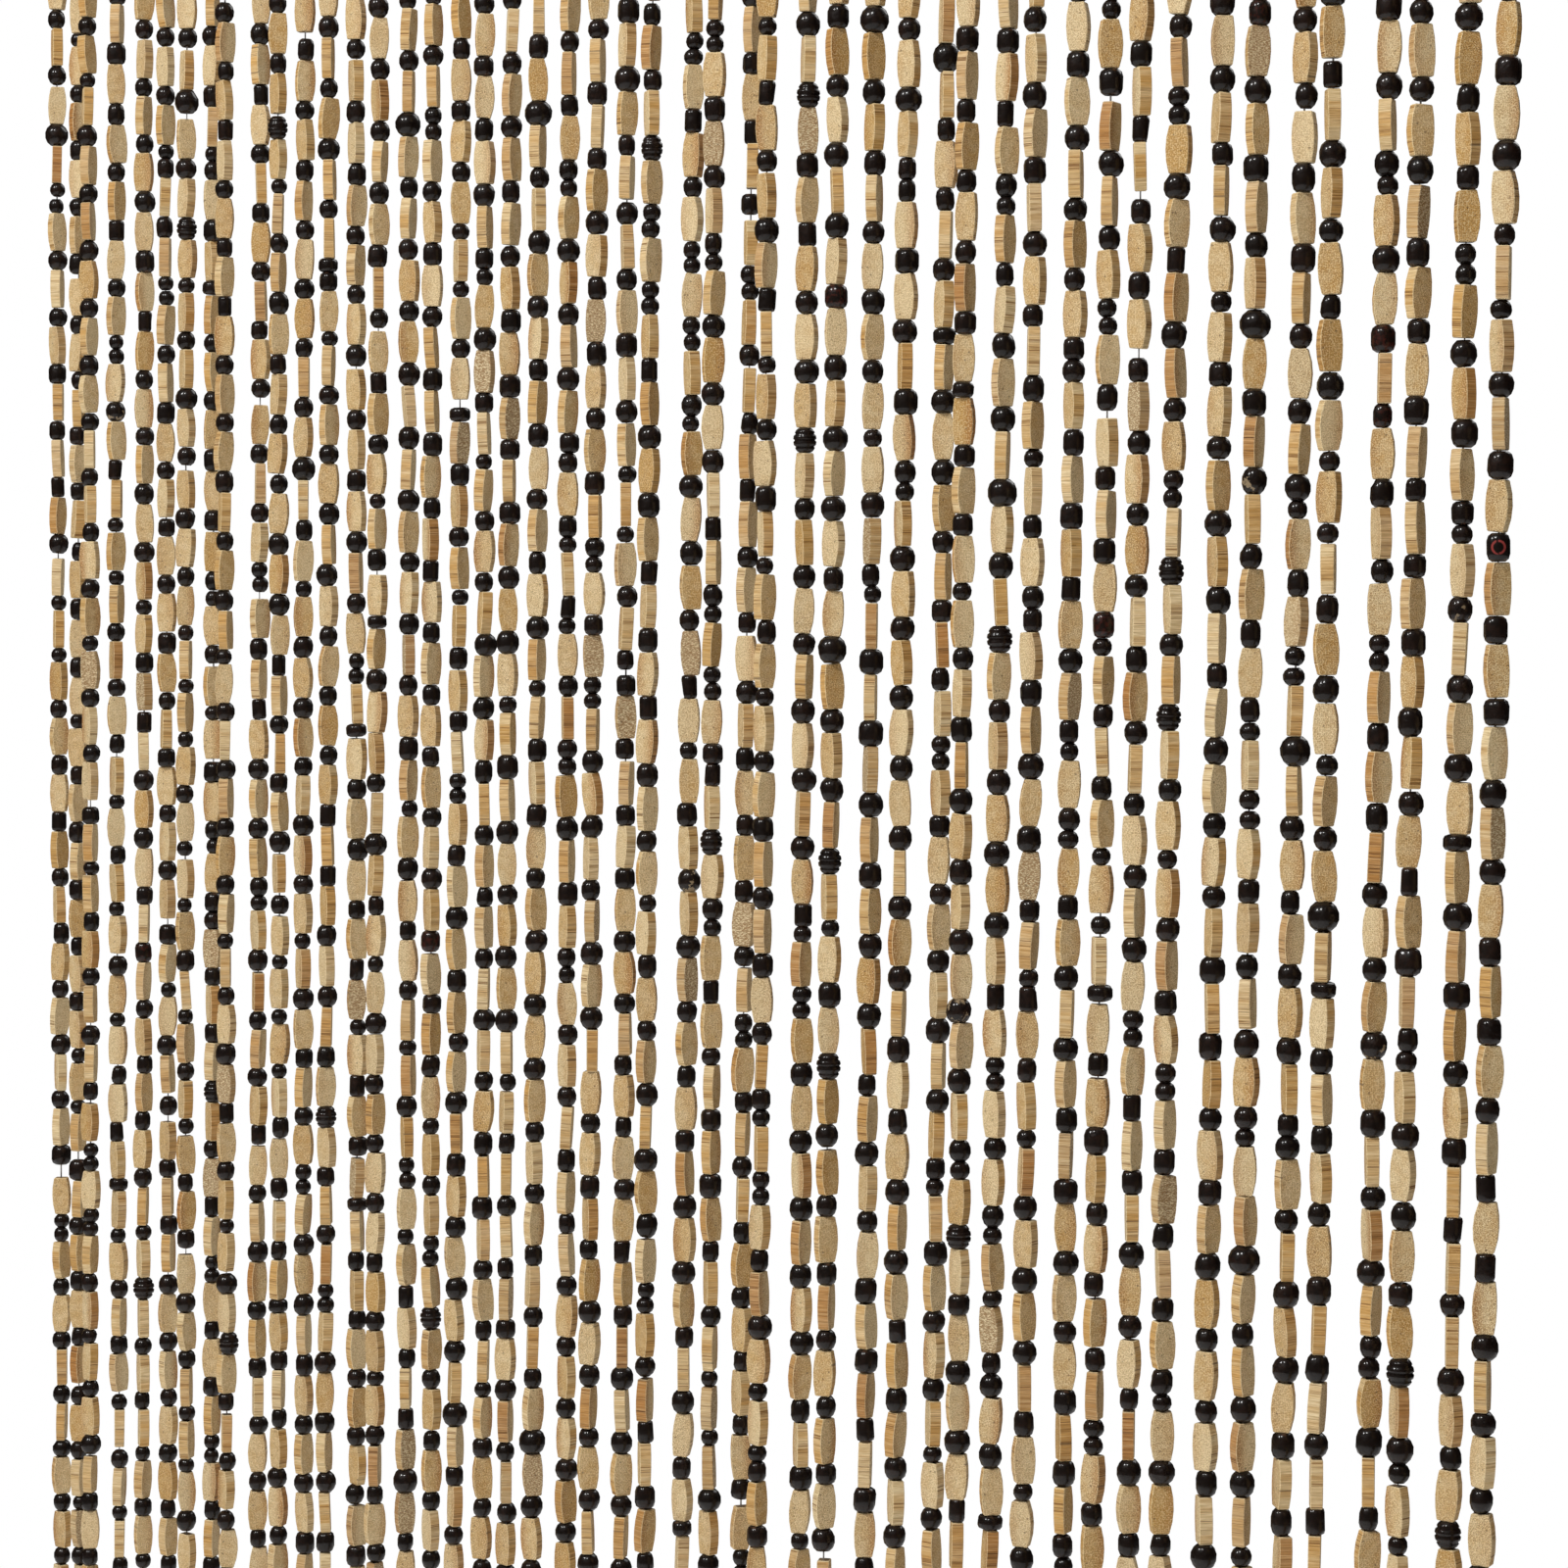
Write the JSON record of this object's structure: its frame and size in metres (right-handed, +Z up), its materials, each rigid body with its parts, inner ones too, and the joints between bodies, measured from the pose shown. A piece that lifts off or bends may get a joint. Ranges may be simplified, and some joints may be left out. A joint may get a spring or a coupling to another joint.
{
  "type": "bead curtain",
  "caption": "Door curtain of hanging bead strands, bamboo slab beads in turn with black-brown wooden beads, tied into a plain narrow heading strip.",
  "frame": {"origin": "middle of the heading strip's top edge, from which the curtain hangs", "axes": "+Z up, +X along the curtain's width to the right as seen from the front, +Y to the back, so the front faces -Y"},
  "size_m": [0.9, 0.022, 2],
  "materials": {
    "bamboo": "matt raw bamboo, cream to orange-brown from bead to bead",
    "dark_wood": "semi-gloss black-brown stain on turned wood",
    "string": "grey twisted string",
    "heading_wood": "plain matt wood"
  },
  "bodies": {
    "root": {"bead_strands": "bamboo"}
  },
  "joints": []
}
